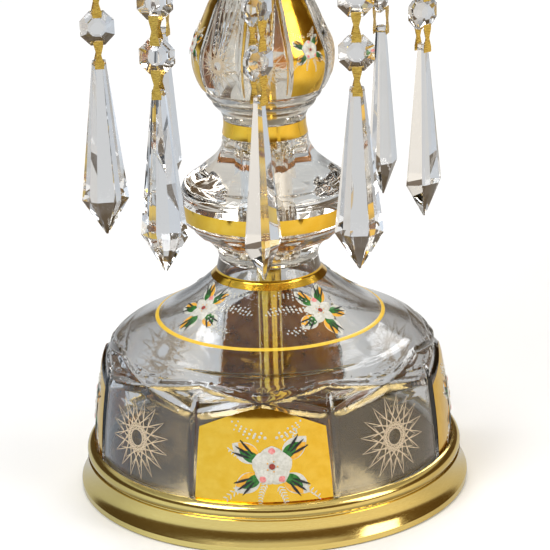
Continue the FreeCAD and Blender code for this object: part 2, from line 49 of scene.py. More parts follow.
# ---- outlines and surfaces --------------------------------------------------------------------
def sample_outline(corners, step=0.7):
    """Points along an outline in mm: corners (radius, height) or (radius, height, arc radius)."""
    points = []
    for number, corner in enumerate(corners[:-1]):
        a = np.array(corner[:2], float)
        b = np.array(corners[number + 1][:2], float)
        chord = np.linalg.norm(b - a)
        if len(corner) == 2:
            count = max(1, int(round(chord / step)))
            points += [a + (b - a) * k / count for k in range(count)]
            continue
        bend = corner[2]
        left = np.array([a[1] - b[1], b[0] - a[0]]) / chord
        rise = math.sqrt(bend * bend - chord * chord / 4)
        centre = (a + b) / 2 + left * math.copysign(rise, bend)
        start, end = (math.atan2(*(p - centre)[::-1]) for p in (a, b))
        turn = (end - start) % TAU if bend > 0 else -((start - end) % TAU)
        count = max(2, int(round(abs(turn * bend) / step)))
        angles = [start + turn * k / count for k in range(count)]
        points += [centre + abs(bend) * np.array([math.cos(t), math.sin(t)]) for t in angles]
    points.append(np.array(corners[-1][:2], float))
    return np.array(points)


class Surface:
    """A turned surface: a place on it is a bearing in degrees and a length along the outline."""

    def __init__(self, corners, step=0.7):
        self.line = sample_outline(corners, step)
        gaps = np.linalg.norm(np.diff(self.line, axis=0), axis=1)
        self.length = np.concatenate([[0], np.cumsum(gaps)])
        slope = np.gradient(self.line, self.length, axis=0)
        slope /= np.linalg.norm(slope, axis=1)[:, None]
        self.normal = np.stack([slope[:, 1], -slope[:, 0]], 1)

    def along(self, height):
        """The length along the outline at which it first reaches a height."""
        return float(np.interp(height, self.line[:, 1], self.length))

    def radius(self, length):
        return np.interp(length, self.length, self.line[:, 0])

    def place(self, bearing, length, lift=0.0):
        """Points in metres, lifted off the surface by `lift` mm."""
        bearing, length, lift = np.broadcast_arrays(np.radians(bearing), length, lift)
        r, z, nr, nz = (np.interp(length, self.length, column) for column in
                        (self.line[:, 0], self.line[:, 1], self.normal[:, 0], self.normal[:, 1]))
        r = r + nr * lift
        z = z + nz * lift
        return np.stack([r * np.sin(bearing), -r * np.cos(bearing), z], -1) * MM


BELL_OUTSIDE = [(76.2, 16.8), (76.0, 23.0, 240.0), (72.8, 50.5, 19.0), (60.0, 68.4),
                (50.0, 73.5, -100.0), (22.0, 94.0), (20.8, 99.6)]
BELL_INSIDE = [(16.0, 99.6), (19.0, 93.0, 94.0), (48.0, 70.5), (58.5, 65.4, -16.0),
               (69.8, 49.8, -237.0), (73.2, 16.8)]
KNOP_OUTSIDE = [(20.8, 100.2), (21.4, 103.2), (23.6, 106.2, -9.0), (28.0, 109.6), (31.2, 112.8, -8.0),
                (34.6, 116.4, 3.0), (35.6, 117.8, 30.0), (35.8, 128.0, 7.0), (31.6, 134.4),
                (24.4, 140.2, -17.0), (18.2, 151.4, -30.0), (17.1, 157.0), (17.1, 159.6)]
VASE_OUTSIDE = [(17.1, 160.2), (18.2, 163.0), (20.6, 165.4, 3.0), (21.6, 168.0), (23.2, 169.2, 3.0),
                (24.0, 171.8), (25.6, 172.8, 24.0), (29.3, 186.0, 16.0), (28.2, 192.5),
                (21.9, 207.3, -60.0), (14.5, 231.0)]
UPPER_OUTSIDE = [(15.0, 297.4), (16.0, 303.0, 22.0), (22.0, 321.0, 22.0), (17.0, 336.0, -30.0),
                 (13.0, 348.0)]
bell_surface = Surface(BELL_OUTSIDE)
knop_surface = Surface(KNOP_OUTSIDE, 0.6)
vase_surface = Surface(VASE_OUTSIDE, 0.6)
upper_surface = Surface(UPPER_OUTSIDE, 0.8)


# ---- meshes -----------------------------------------------------------------------------------
def add_mesh(name, points, faces, materials, slots, sharp=40, body="root"):
    mesh = bpy.data.meshes.new(name)
    mesh.from_pydata([tuple(p) for p in points], [], faces)
    for material in materials:
        mesh.materials.append(material)
    mesh.polygons.foreach_set("material_index", slots)
    mesh.polygons.foreach_set("use_smooth", [True] * len(mesh.polygons))
    if sharp:
        mesh.set_sharp_from_angle(angle=math.radians(sharp))
    mesh.update()
    piece = bpy.data.objects.new(name, mesh)
    bpy.context.scene.collection.objects.link(piece)
    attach(piece, body)
    return piece


def grid_faces(rows, columns, offset=0, close_rows=False, close_columns=False):
    """Quads of a grid of points stored row by row."""
    faces = []
    for i in range(rows if close_rows else rows - 1):
        for j in range(columns if close_columns else columns - 1):
            a, b = i * columns, ((i + 1) % rows) * columns
            k = (j + 1) % columns
            faces.append((offset + a + j, offset + a + k, offset + b + k, offset + b + j))
    return faces


class Heap:
    """Collects parts of one piece, each with a material number."""

    def __init__(self):
        self.points = []
        self.faces = []
        self.slots = []

    def add(self, points, faces, slot=0):
        start = len(self.points)
        self.points += [tuple(p) for p in points]
        self.faces += [tuple(start + k for k in face) for face in faces]
        self.slots += [slot] * len(faces)

    def grid(self, points, slot=0, close_rows=False, close_columns=False):
        rows, columns = points.shape[:2]
        self.add(points.reshape(-1, 3), grid_faces(rows, columns, 0, close_rows, close_columns), slot)

    def build(self, name, materials, **options):
        return add_mesh(name, self.points, self.faces, materials, self.slots, **options)


def turned_solid(name, outline, material, columns, shape):
    """A closed turned solid from a closed loop of points in mm, shaped by shape(bearing, row)."""
    bearings = np.arange(columns) * 360 / columns
    bearing, row = np.meshgrid(bearings, np.arange(len(outline)))
    r = outline[:, 0][row]
    z = outline[:, 1][row]
    r, z = shape(bearing, row, r, z)
    t = np.radians(bearing)
    points = np.stack([r * np.sin(t), -r * np.cos(t), z], -1) * MM
    heap = Heap()
    heap.grid(points, close_rows=True, close_columns=True)
    return heap.build(name, [material])


# ---- materials --------------------------------------------------------------------------------
NOISE_DETAIL = 3.0
RAMP_START, RAMP_END = 0.35, 0.65
LAMP_THROUGH_GLASS = 0.93
DECK_RADIUS = 0.0765


def new_material(name):
    material = bpy.data.materials.new(name)
    material.use_nodes = True
    nodes = material.node_tree.nodes
    return material, nodes, material.node_tree.links, nodes["Principled BSDF"]


def add_bump(nodes, links, shader, scale, strength, distance, stretch=(1, 1, 1)):
    """Fine relief from noise in object space, with stretch along each axis."""
    coords = nodes.new("ShaderNodeTexCoord")
    mapping = nodes.new("ShaderNodeMapping")
    mapping.inputs["Scale"].default_value = stretch
    noise = nodes.new("ShaderNodeTexNoise")
    noise.inputs["Scale"].default_value = scale
    noise.inputs["Detail"].default_value = NOISE_DETAIL
    bump = nodes.new("ShaderNodeBump")
    bump.inputs["Strength"].default_value = strength
    bump.inputs["Distance"].default_value = distance
    links.new(coords.outputs["Object"], mapping.inputs["Vector"])
    links.new(mapping.outputs["Vector"], noise.inputs["Vector"])
    links.new(noise.outputs["Fac"], bump.inputs["Height"])
    links.new(bump.outputs["Normal"], shader.inputs["Normal"])
    return noise


def add_ramp(nodes, links, source, target, low, high):
    """Drive a socket from a noise through a ramp between two values or colours."""
    ramp = nodes.new("ShaderNodeValToRGB")
    for element, place, value in zip(ramp.color_ramp.elements, (RAMP_START, RAMP_END), (low, high)):
        element.position = place
        element.color = (*value, 1) if isinstance(value, tuple) else (value, value, value, 1)
    links.new(source.outputs["Fac"], ramp.inputs["Fac"])
    links.new(ramp.outputs["Color"], target)


def glass_material(name, colour, ior, scale, strength, roughness=0.0):
    """Clear glass that lets lamp light through to what is behind it."""
    material, nodes, links, shader = new_material(name)
    shader.inputs["Base Color"].default_value = (*colour, 1)
    shader.inputs["Roughness"].default_value = roughness
    shader.inputs["IOR"].default_value = ior
    shader.inputs["Transmission Weight"].default_value = 1.0
    if strength:
        add_bump(nodes, links, shader, scale, strength, 0.0002)
    path = nodes.new("ShaderNodeLightPath")
    clear = nodes.new("ShaderNodeBsdfTransparent")
    clear.inputs["Color"].default_value = (*[LAMP_THROUGH_GLASS] * 3, 1)
    mix = nodes.new("ShaderNodeMixShader")
    links.new(path.outputs["Is Shadow Ray"], mix.inputs["Fac"])
    links.new(shader.outputs["BSDF"], mix.inputs[1])
    links.new(clear.outputs["BSDF"], mix.inputs[2])
    links.new(mix.outputs["Shader"], nodes["Material Output"].inputs["Surface"])
    return material


def metal_material(name, low, high, rough_low, rough_high, scale, stretch, strength, distance=0.0001):
    """Metal whose colour and polish vary a little, with fine relief."""
    material, nodes, links, shader = new_material(name)
    shader.inputs["Metallic"].default_value = 1.0
    noise = add_bump(nodes, links, shader, scale, strength, distance, stretch)
    add_ramp(nodes, links, noise, shader.inputs["Base Color"], low, high)
    add_ramp(nodes, links, noise, shader.inputs["Roughness"], rough_low, rough_high)
    return material


def paint_material(name, low, high, roughness, scale=900.0, strength=0.3):
    """Fired enamel or paint: two close shades and a soft uneven gloss."""
    material, nodes, links, shader = new_material(name)
    shader.inputs["Roughness"].default_value = roughness
    noise = add_bump(nodes, links, shader, scale, strength, 0.0001)
    add_ramp(nodes, links, noise, shader.inputs["Base Color"], low, high)
    return material


cut_glass = glass_material("cut_glass", (0.985, 0.955, 0.895), 1.52, 260.0, 0.02)
dome_glass = glass_material("engraved_glass", (0.955, 0.96, 0.965), 1.5, 700.0, 0.05)
crystal = glass_material("lead_crystal", (0.985, 0.985, 0.99), 1.56, 200.0, 0.01)
gasket_clear = glass_material("clear_washer", (0.9, 0.88, 0.82), 1.45, 500.0, 0.2, 0.35)
satin_brass = metal_material("satin_brass", (0.76, 0.56, 0.17), (0.84, 0.65, 0.23), 0.10, 0.18,
                             420.0, (1, 1, 30), 0.03)
bright_brass = metal_material("bright_brass", (0.74, 0.55, 0.12), (0.84, 0.66, 0.19), 0.10, 0.2,
                              500.0, (1, 1, 4), 0.05)
sleeve_gold = metal_material("gilt_sleeve", (0.80, 0.52, 0.07), (0.90, 0.62, 0.12), 0.12, 0.22,
                             400.0, (1, 1, 2), 0.05)
clip_gold = metal_material("ribbed_gold", (0.50, 0.32, 0.06), (0.78, 0.54, 0.12), 0.18, 0.34,
                           500.0, (1, 1, 6), 0.5, 0.0003)
gilding = metal_material("gilding", (0.88, 0.52, 0.045), (0.94, 0.59, 0.075), 0.10, 0.17,
                         220.0, (1, 1, 1), 0.05)
gilding_back = metal_material("gilding_seen_through_glass", (0.34, 0.13, 0.02), (0.50, 0.22, 0.05),
                              0.25, 0.4, 160.0, (1, 1, 1), 0.1)
gold_line = paint_material("painted_gold_line", (0.80, 0.50, 0.03), (0.90, 0.60, 0.06), 0.3)
enamel_white = paint_material("white_enamel", (0.58, 0.57, 0.50), (0.72, 0.71, 0.65), 0.35)
enamel_pink = paint_material("pink_enamel", (0.75, 0.20, 0.20), (0.85, 0.38, 0.36), 0.35)
enamel_red = paint_material("dark_red_enamel", (0.25, 0.03, 0.02), (0.38, 0.06, 0.04), 0.35)
enamel_green = paint_material("green_enamel", (0.01, 0.10, 0.01), (0.04, 0.22, 0.03), 0.35)
enamel_orange = paint_material("orange_enamel", (0.80, 0.36, 0.02), (0.90, 0.50, 0.05), 0.35)
enamel_black = paint_material("black_enamel", (0.01, 0.01, 0.01), (0.03, 0.03, 0.03), 0.4)
frosted_cut = paint_material("frosted_cut", (0.54, 0.43, 0.29), (0.68, 0.56, 0.40), 0.5)
felt = paint_material("green_felt", (0.01, 0.04, 0.02), (0.03, 0.08, 0.04), 0.95, 2500.0, 0.9)
iron = paint_material("cast_iron", (0.03, 0.03, 0.03), (0.07, 0.07, 0.07), 0.6)
steel = metal_material("zinc_plate", (0.50, 0.50, 0.50), (0.62, 0.62, 0.62), 0.25, 0.4,
                       300.0, (1, 1, 1), 0.1)


def paint_deck_shade(material, radius, colour):
    """Painted shade: darken the metal inside `radius` metres of the upright axis, where the deck lies
    under the bell.
    """
    nodes, links = material.node_tree.nodes, material.node_tree.links
    socket = nodes["Principled BSDF"].inputs["Base Color"]
    coords = nodes.new("ShaderNodeTexCoord")
    flat = nodes.new("ShaderNodeVectorMath")
    flat.operation = "MULTIPLY"
    flat.inputs[1].default_value = (1, 1, 0)
    reach = nodes.new("ShaderNodeVectorMath")
    reach.operation = "LENGTH"
    inside = nodes.new("ShaderNodeMath")
    inside.operation = "LESS_THAN"
    inside.inputs[1].default_value = radius
    blend = nodes.new("ShaderNodeMix")
    blend.data_type = "RGBA"
    blend.inputs[7].default_value = (*colour, 1)
    links.new(coords.outputs["Object"], flat.inputs[0])
    links.new(flat.outputs["Vector"], reach.inputs[0])
    links.new(reach.outputs["Value"], inside.inputs[0])
    links.new(inside.outputs["Value"], blend.inputs[0])
    links.new(socket.links[0].from_socket, blend.inputs[6])
    links.new(blend.outputs[2], socket)


# Painted shade: the satin brass deck under the bell is coloured dark brown.
paint_deck_shade(satin_brass, DECK_RADIUS, (0.26, 0.19, 0.07))
ENAMELS = [enamel_white, enamel_pink, enamel_red, enamel_green, enamel_orange, enamel_black]
WHITE, PINK, RED, GREEN, ORANGE, BLACK = range(6)


# ---- cuts in the glass ------------------------------------------------------------------------
def groove(across, up, start, end, half_width, depth, blunt=0.6):
    """Depth of a leaf-shaped mitre cut from start to end, in mm of (across, up)."""
    start, end = np.array(start, float), np.array(end, float)
    run = end - start
    share = ((across - start[0]) * run[0] + (up - start[1]) * run[1]) / (run @ run)
    away = np.abs((across - start[0]) * run[1] - (up - start[1]) * run[0]) / np.linalg.norm(run)
    inside = np.clip(4 * share * (1 - share), 0, 1) ** blunt
    width = np.maximum(half_width * inside, 1e-6)
    return depth * inside * np.clip(1 - away / width, 0, 1)


def deepest(depths):
    return np.maximum.reduce(depths)


BELL_PANELS = 8
BELL_TURN = -3.5
PANEL_FOOT, PANEL_CORNER, PANEL_CROWN = 18.0, 49.8, 58.6
TIE_LOW, TIE_MIDDLE, TIE_HIGH, SEAM_TOP = 54.0, 59.5, 65.5, 61.5
PANEL_RADIUS = 70.0
FADE_FOOT, FADE_HEIGHT = 17.5, 2
BELL_COLUMNS, KNOP_COLUMNS, VASE_COLUMNS = 640, 320, 360


def bell_cuts(bearing, length):
    """Depth of the bell's cuts: two wide cuts cross over each panel, and a seam divides panels."""
    step = 360 / BELL_PANELS
    local = (bearing - BELL_TURN + step / 2) % step - step / 2
    low, high, middle, top = (bell_surface.along(z) for z in (TIE_LOW, TIE_HIGH, TIE_MIDDLE, SEAM_TOP))
    spread = bell_surface.radius(length) * np.radians(1)
    edge = math.radians(step / 2) * PANEL_RADIUS
    depths = []
    for shift in (-step, 0, step):
        across = (local - shift) * spread
        for side in (-1, 1):
            tie = side * across
            depths.append(groove(tie, length, (-edge - 3, low), (edge + 3, high), 2.9, 1.35, 0.45))
            depths.append(groove(tie, length, (-edge, middle), (edge * 0.5, high), 1.3, 0.7))
            depths.append(groove(tie, length, (-edge, low - 1), (-edge * 0.1, middle), 1.2, 0.7))
    for side in (-1, 1):
        seam = (local - side * step / 2) * spread
        foot = bell_surface.along(PANEL_FOOT) - 2
        depths.append(groove(seam, length, (0, foot), (0, top), 2.1, 1.2, 0.35))
    return deepest(depths)


def make_bell():
    inside = sample_outline(BELL_INSIDE, 1.5)
    outline = np.concatenate([bell_surface.line, inside])
    outside_rows = len(bell_surface.line)

    def shape(bearing, row, r, z):
        outer = row < outside_rows
        index = np.minimum(row, outside_rows - 1)
        depth = bell_cuts(bearing, bell_surface.length[index])
        fade = np.clip((bell_surface.line[index, 1] - FADE_FOOT) / FADE_HEIGHT, 0, 1)
        depth = np.where(outer, depth * fade, 0)
        normal = bell_surface.normal[index]
        return r - normal[..., 0] * depth, z - normal[..., 1] * depth

    bell = turned_solid("cut_bell", outline, dome_glass, BELL_COLUMNS, shape)
    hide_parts("bell")


def band(value, low, high, soft):
    """One between low and high, fading to zero over `soft`."""
    return np.clip((value - low) / soft, 0, 1) * np.clip((high - value) / soft, 0, 1)


def fluted(bearing, r, z, count, turn, low, high, depth):
    """The turned radius cut by `count` flats, deepest midway and ending in a curve each way."""
    step = 360 / count
    local = np.radians((bearing - turn + step / 2) % step - step / 2)
    share = (2 * z - low - high) / (high - low)
    flat = (r - depth * (1 - share ** 2)) / np.cos(local)
    return np.where(np.abs(share) < 1, np.minimum(r, flat), r)


def make_knop():
    bore = np.array([[8.0, 159.6], [8.0, 145.0], [8.0, 130.0], [8.0, 115.0], [8.0, 100.2]])
    outline = np.concatenate([knop_surface.line, bore])
    rows = len(knop_surface.line)

    def shape(bearing, row, r, z):
        cut = fluted(bearing, r, z, 8, BELL_TURN, 136.0, 152.8, 1.3)
        cut = fluted(bearing, cut, z, 8, BELL_TURN, 103.0, 116.0, 1.9)
        return np.where(row < rows, cut, r), z

    knop = turned_solid("cut_knop", outline, cut_glass, KNOP_COLUMNS, shape)
    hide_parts("knop")


VASE_PANELS = 9
VASE_TURN = 1.6


def vase_cuts(bearing, length):
    """Depth of the vase's cuts: a mitre on each panel edge and a fan of leaves in each panel that is
    not gilded.
    """
    step = 360 / VASE_PANELS
    local = (bearing - VASE_TURN + step / 2) % step - step / 2
    spread = vase_surface.radius(length) * np.radians(1)
    low, high = vase_surface.along(173.5), vase_surface.along(224.0)
    depths = []
    for side in (-1, 1):
        seam = (local - side * step / 2) * spread
        depths.append(groove(seam, length, (0, low), (0, high), 1.5, 0.8, 0.3))
    gilded = np.floor((bearing - VASE_TURN + step / 2) / step) % 3 == 1
    for lean in (-5.0, -2.4, 0.0, 2.4, 5.0):
        fan = groove(local * spread, length, (lean * 0.2, low + 5), (lean, high - 12), 0.8, 0.6)
        depths.append(np.where(gilded, 0, fan))
    return deepest(depths)


def make_vase(name, node, surface, bore, cuts):
    outline = np.concatenate([surface.line, bore])
    rows = len(surface.line)

    def shape(bearing, row, r, z):
        index = np.minimum(row, rows - 1)
        depth = np.where(row < rows, cuts(bearing, surface.length[index]), 0)
        normal = surface.normal[index]
        return r - normal[..., 0] * depth, z - normal[..., 1] * depth

    vase = turned_solid(name, outline, cut_glass, VASE_COLUMNS, shape)
    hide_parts(node)


# ---- gilding and painted work on a surface ----------------------------------------------------
GILD_LIFT, GILD_BACK_LIFT, LINE_LIFT = 0.06, 0.06 * 0.4, 0.12
BAND_COLUMNS, LINE_COLUMNS = 160, 200


def gild_panel(heap, surface, turn, foot_angle, top_angle, low, corner, crown):
    """A gilded panel with a low pointed top: bright outside, amber towards the glass."""
    across = np.linspace(-1, 1, 33)
    up = np.linspace(0, 1, 41)
    grid_across, grid_up = np.meshgrid(across, up)
    arch = 1 - np.abs(grid_across) ** 1.4
    top = surface.along(corner) + (surface.along(crown) - surface.along(corner)) * arch
    bottom = surface.along(low)
    length = bottom + (top - bottom) * grid_up
    bearing = turn + (foot_angle + (top_angle - foot_angle) * grid_up) * grid_across
    heap.grid(surface.place(bearing, length, GILD_LIFT), 0)
    heap.grid(surface.place(bearing, length, GILD_BACK_LIFT), 1)


def gild_band(heap, surface, low, high):
    """A gilded ring round a turned piece between two heights."""
    lengths = np.linspace(surface.along(low), surface.along(high), 12)
    bearing, length = np.meshgrid(np.arange(BAND_COLUMNS) * 360 / BAND_COLUMNS, lengths)
    heap.grid(surface.place(bearing, length, GILD_LIFT), 0, close_columns=True)
    heap.grid(surface.place(bearing, length, GILD_BACK_LIFT), 1, close_columns=True)


def gold_ring(heap, surface, height, width):
    """A painted line with a rounded back."""
    middle = surface.along(height)
    lengths = middle + width * np.array([-0.5, -0.35, 0, 0.35, 0.5])
    lifts = LINE_LIFT * np.array([0.2, 0.8, 1.0, 0.8, 0.2])
    bearing, length = np.meshgrid(np.arange(LINE_COLUMNS) * 360 / LINE_COLUMNS, lengths)
    lift_grid = np.broadcast_to(lifts[:, None], bearing.shape)
    heap.grid(surface.place(bearing, length, lift_grid), 0, close_columns=True)


class Brush:
    """Paints raised enamel round one place on a surface, in mm to the right and up."""

    def __init__(self, heap, surface, bearing, height, scale=1.0, turn=0.0):
        self.heap = heap
        self.surface = surface
        self.bearing = bearing
        self.length = surface.along(height)
        self.scale = scale
        self.turn = math.radians(turn)

    def place(self, x, y, lift):
        x, y = np.asarray(x) * self.scale, np.asarray(y) * self.scale
        c, s = math.cos(self.turn), math.sin(self.turn)
        right, up = x * c - y * s, x * s + y * c
        length = self.length + up
        bearing = self.bearing + np.degrees(right / self.surface.radius(length))
        return self.surface.place(bearing, length, lift)

    def leaf(self, x, y, angle, length, width, slot, lift=0.35, tip=0.5, base=0.12):
        """A domed leaf or petal that starts at (x, y); tip sets how far out it is widest."""
        rings, steps = 5, 20
        angle = math.radians(angle)
        t = np.linspace(0, 1, steps)
        shape = np.sin(math.pi * t ** (math.log(0.5) / math.log(tip))) ** 0.8
        half = width / 2 * np.maximum(shape, 0.02)
        side = np.linspace(-1, 1, 2 * rings + 1)
        along = (t * length)[:, None] + 0 * side[None]
        away = half[:, None] * side[None]
        px = x + along * math.cos(angle) - away * math.sin(angle)
        py = y + along * math.sin(angle) + away * math.cos(angle)
        rise = base + lift * (1 - side[None] ** 2) * shape[:, None]
        self.heap.grid(self.place(px, py, rise), slot)

    def spot(self, x, y, radius, slot, lift=0.4, base=0.1):
        """A round bead of enamel."""
        rings, around = 4, 10
        angles = np.arange(around) * TAU / around
        share = np.linspace(1, 0.02, rings)
        px = x + radius * share[:, None] * np.cos(angles)[None]
        py = y + radius * share[:, None] * np.sin(angles)[None]
        rise = base + lift * np.sqrt(1 - share ** 2)[:, None] + 0 * angles[None]
        self.heap.grid(self.place(px, py, rise), slot, close_columns=True)

    def stroke(self, points, width, slot, lift=0.2, base=0.14):
        """A tapering brush stroke through points."""
        points = np.array(points, float)
        t = np.linspace(0, 1, 14)
        knots = np.linspace(0, 1, len(points))
        px = np.interp(t, knots, points[:, 0])
        py = np.interp(t, knots, points[:, 1])
        dx, dy = np.gradient(px), np.gradient(py)
        size = np.hypot(dx, dy)
        half = width / 2 * np.sin(math.pi * (0.08 + 0.88 * t))
        side = np.array([-1.0, 0.0, 1.0])
        gx = px[:, None] - (dy / size * half)[:, None] * side[None]
        gy = py[:, None] + (dx / size * half)[:, None] * side[None]
        rise = base + lift * (1 - side ** 2)[None] + 0 * t[:, None]
        self.heap.grid(self.place(gx, gy, rise), slot)

    def beads(self, start, end, bow, count, radius):
        """A bowed row of white dots that shrink towards the end, with side dots."""
        start, end = np.array(start, float), np.array(end, float)
        run = end - start
        side = np.array([-run[1], run[0]]) / np.linalg.norm(run)
        for k in range(count):
            t = k / (count - 1)
            middle = start + run * t + side * bow * 4 * t * (1 - t)
            size = radius * (1 - 0.35 * t)
            self.spot(*middle, size, WHITE)
            if 0 < k < count - 1:
                for sign in (-1, 1):
                    reach = radius * (2.1 + 0.8 * math.sin(2.4 * k))
                    self.spot(*(middle + side * sign * reach), size * 0.8, WHITE)

    def leaf_group(self, x, y, angle, size=1.0):
        """A green leaf edged in orange with black veins and a pale rim."""
        self.leaf(x, y, angle, 7.6 * size, 5.0 * size, WHITE, 0.08, 0.45, 0.06)
        self.leaf(x, y, angle - 9, 6.6 * size, 3.6 * size, ORANGE, 0.16, 0.45, 0.12)
        self.leaf(x, y, angle + 4, 5.4 * size, 3.0 * size, GREEN, 0.26, 0.45, 0.16)
        reach = 6.8 * size
        for turn in (-16, 0, 15):
            a = math.radians(angle + turn)
            start = (x + 2.2 * size * math.cos(a), y + 2.2 * size * math.sin(a))
            end = (x + reach * math.cos(a), y + reach * math.sin(a))
            self.stroke([start, end], 0.62 * size, BLACK, 0.14, 0.42)

    def feather(self, x, y, angle, length, bow):
        """A pale curved spray of short hairs."""
        a = math.radians(angle)
        for k in range(9):
            t = k / 8
            cx = x + length * t * math.cos(a) - bow * t * t * math.sin(a)
            cy = y + length * t * math.sin(a) + bow * t * t * math.cos(a)
            for sign in (-1, 1):
                out = math.radians(angle + sign * 48 + 25 * t)
                hair = (1.9 - 0.8 * t) * length / 9
                self.stroke([(cx, cy), (cx + hair * math.cos(out), cy + hair * math.sin(out))],
                            0.5, WHITE, 0.08, 0.05)

    def flower(self, x, y, size, width=4.6, widest=0.62, pinks=(0, 2, 3)):
        """Five white petals, some touched with pink, round a dark red eye."""
        petals = 5
        for k in range(petals):
            angle = 90 + k * 360 / petals
            self.leaf(x, y, angle, 5.0 * size, width * size, WHITE, 0.55, widest, 0.3)
        for k in range(petals):
            a = math.radians(90 + k * 360 / petals)
            if k in pinks:
                px, py = x + 3.7 * size * math.cos(a), y + 3.7 * size * math.sin(a)
                self.leaf(px - 0.9 * size * math.cos(a), py - 0.9 * size * math.sin(a),
                          math.degrees(a), 1.9 * size, 1.7 * size, PINK, 0.2, 0.5, 0.75)
        self.spot(x, y, 0.75 * size, RED, 0.3, 0.7)
        for k in range(5):
            a = k * TAU / 5
            self.spot(x + 1.3 * size * math.cos(a), y + 1.3 * size * math.sin(a), 0.2 * size,
                      ORANGE, 0.2, 0.7)


def panel_bouquet(brush):
    """The spray on a gilded panel: a flower, leaves at its corners, feathers and bead rows."""
    for angle in (148, 42, 215, -38):
        a = math.radians(angle)
        brush.leaf_group(4.4 * math.cos(a), 4.0 * math.sin(a), angle, 1.25)
    for x, y, angle, length, bow in ((-4, -4, 196, 11, 3), (4, -4, -18, 11, -3), (-2, -5, 240, 7, 2),
                                     (2, -6, -62, 8, -2), (-5, 2, 170, 8, -2), (5, 3, 62, 8, 2)):
        brush.feather(x, y, angle, length, bow)
    brush.flower(0, 0.4, 1.25, 5.2)
    brush.beads((-1.9, 9.1), (-11.6, 13.9), 1.0, 8, 0.5)
    brush.beads((1.6, 9.1), (8.7, 13.9), -1.0, 7, 0.5)


def dome_spray(brush, mirror):
    """The spray on the dome: a flower with bead rows that run to one side."""
    m = -1 if mirror else 1

    def turned(angle):
        return 180 - angle if mirror else angle

    for angle, size in ((118, 1.15), (62, 1.05), (200, 1.1), (262, 1.25), (330, 1.15)):
        a = math.radians(turned(angle))
        brush.leaf_group(3.4 * math.cos(a), 3.2 * math.sin(a), turned(angle), size)
    brush.flower(0, 0, 1.2, 3.4, 0.5, (0,))
    brush.beads((m * 4, 0.5), (m * 20, 1.0), 2.2 * m, 12, 0.55)
    brush.beads((m * 4, -1.5), (m * 17, -7.5), -1.5 * m, 10, 0.55)
    brush.beads((m * 3, 5), (m * 13, 9), 1.0 * m, 8, 0.45)


def cut_star(heap, surface, turn, height, radius, points=16, skips=(7, 6), width=0.34):
    """A star of frosted straight cuts: chords between points on a circle."""
    middle = surface.along(height)
    angles = TAU * (np.arange(points) + 0.5) / points
    for skip in skips:
        reach = radius if skip == skips[0] else radius * 0.72
        for k in range(points):
            a, b = angles[k], angles[(k + skip) % points]
            start = reach * np.array([math.cos(a), math.sin(a)])
            end = reach * np.array([math.cos(b), math.sin(b)])
            t = np.linspace(0, 1, 15)
            line = start[None] + (end - start)[None] * t[:, None]
            side = np.array([start[1] - end[1], end[0] - start[0]]) / np.linalg.norm(end - start)
            half = width / 2 * np.clip(np.sin(math.pi * t) * 3, 0.15, 1)
            across = np.array([-1.0, 0.0, 1.0])
            xy = line[:, None] + side[None, None] * (half[:, None] * across[None])[..., None]
            length = middle + xy[..., 1]
            bearing = turn + np.degrees(xy[..., 0] / surface.radius(length))
            rise = 0.05 + 0.12 * (1 - across ** 2)[None] + 0 * t[:, None]
            heap.grid(surface.place(bearing, length, rise), 0)


SPRAYS, SPRAY_TURN = 4, -53.0


def make_bell_decoration():
    gold = Heap()
    enamel = Heap()
    stars = Heap()
    step = 360 / BELL_PANELS
    for k in range(BELL_PANELS):
        turn = BELL_TURN + k * step
        if k % 2 == 0:
            gild_panel(gold, bell_surface, turn, 21.6, 20.4, PANEL_FOOT, PANEL_CORNER, PANEL_CROWN)
            panel_bouquet(Brush(enamel, bell_surface, turn + 2.9, 34.5, 1.35))
        else:
            cut_star(stars, bell_surface, turn, 38.5, 17.5, 16, (7, 6), 0.38)
    for k in range(SPRAYS):
        turn = SPRAY_TURN + k * 360 / SPRAYS
        dome_spray(Brush(enamel, bell_surface, turn, 83.3, 1.15), k % 2 == 1)
    gild_band(gold, bell_surface, 91.6, 95.0)
    lines = Heap()
    gold_ring(lines, bell_surface, 74.6, 1.7)
    finish_decoration("bell_gilding", gold, [gilding, gilding_back])
    finish_decoration("bell_gold_line", lines, [gold_line])
    finish_decoration("bell_enamel", enamel, ENAMELS)
    finish_decoration("bell_stars", stars, [frosted_cut])


def finish_decoration(name, heap, materials):
    piece = heap.build(name, materials, sharp=None)


def make_column_decoration():
    gold = Heap()
    enamel = Heap()
    stars = Heap()
    gild_band(gold, knop_surface, 118.6, 125.2)
    gild_band(gold, knop_surface, 153.2, 159.4)
    step = 360 / VASE_PANELS
    for k in range(VASE_PANELS):
        turn = VASE_TURN + k * step
        if k % 3 == 1:
            gild_panel(gold, vase_surface, turn, step / 2 - 3.0, step / 2 - 3.0, 173.6, 216.0, 223.0)
            panel_bouquet(Brush(enamel, vase_surface, turn, 192.0, 0.62))
        else:
            cut_star(stars, vase_surface, turn, 187.0, 9.6, 16, (7, 6), 0.26)
    finish_decoration("column_gilding", gold, [gilding, gilding_back])
    finish_decoration("column_enamel", enamel, ENAMELS)
    finish_decoration("column_stars", stars, [frosted_cut])
    top_gold = Heap()
    top_enamel = Heap()
    for k in range(3):
        gild_panel(top_gold, upper_surface, 120 * k, 24.0, 24.0, 305.0, 331.0, 337.0)
        panel_bouquet(Brush(top_enamel, upper_surface, 120 * k, 316.0, 0.5))
    gild_band(top_gold, upper_surface, 298.0, 301.0)
    gild_band(top_gold, upper_surface, 343.5, 347.0)
    finish_decoration("upper_gilding", top_gold, [gilding, gilding_back])
    finish_decoration("upper_enamel", top_enamel, ENAMELS)


